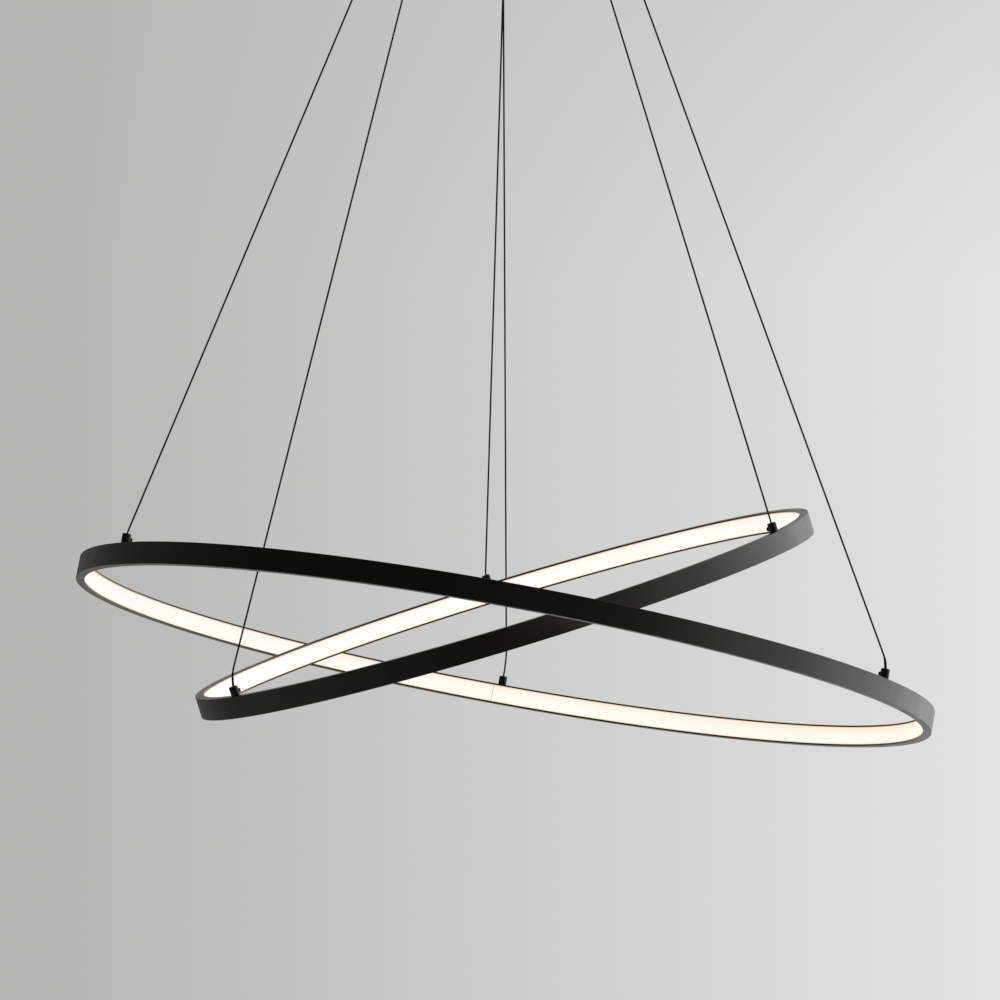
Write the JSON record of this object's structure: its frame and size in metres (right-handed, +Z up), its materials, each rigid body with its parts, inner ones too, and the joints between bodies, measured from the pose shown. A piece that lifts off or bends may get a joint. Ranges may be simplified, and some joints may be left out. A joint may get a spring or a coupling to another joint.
{
  "type": "led ring chandelier",
  "caption": "Pendant light of tilted, nested ring profiles with glowing inner bands, each hung by thin cables from a round ceiling canopy.",
  "frame": {"origin": "centre of the canopy's fixing slots, on the ceiling plane", "axes": "+Z up, +Y away from the viewer of the picture, +X to the viewer's right"},
  "size_m": [0.7907, 0.7956, 0.9078],
  "materials": {
    "black_profile": "fine-textured powder coat",
    "black_metal": "satin black",
    "diffuser": "opal",
    "led_strip": "matte",
    "cable": "smooth sheath",
    "zinc_steel": "zinc plated",
    "white_plastic": "moulded"
  },
  "bodies": {
    "canopy": {"ceiling_bracket": "zinc_steel", "canopy_cover": "black_metal", "canopy_side_screws": "black_metal", "large_ceiling_grips": "black_metal", "small_ceiling_grips": "black_metal", "driver_large": "white_plastic", "driver_small": "white_plastic", "terminal_block": "white_plastic", "cable_crimps": "zinc_steel", "large_cable_left": "cable", "large_cable_right": "cable", "large_cable_rear": "cable", "small_cable_left": "cable", "small_cable_right": "cable", "small_cable_rear": "cable"},
    "ring_large": {"large_channel_front": "black_profile", "large_channel_right": "black_profile", "large_channel_left": "black_profile", "large_diffuser": "diffuser", "large_led_strip": "led_strip", "large_splice_tongues": "zinc_steel", "large_ring_grips": "black_metal", "large_clamp_screws": "black_metal"},
    "ring_small": {"small_channel_front": "black_profile", "small_channel_right": "black_profile", "small_channel_left": "black_profile", "small_diffuser": "diffuser", "small_led_strip": "led_strip", "small_splice_tongues": "zinc_steel", "small_ring_grips": "black_metal", "small_clamp_screws": "black_metal"}
  },
  "joints": [
    {"name": "large_ring_height", "type": "slide", "parent": "canopy", "child": "ring_large", "axis": [0, 0, 1], "range_m": [0, 0.2], "deforming": ["large_cable_left", "large_cable_right", "large_cable_rear"]},
    {"name": "small_ring_height", "type": "slide", "parent": "canopy", "child": "ring_small", "axis": [0, 0, 1], "range_m": [0, 0.08], "deforming": ["small_cable_left", "small_cable_right", "small_cable_rear"]}
  ]
}
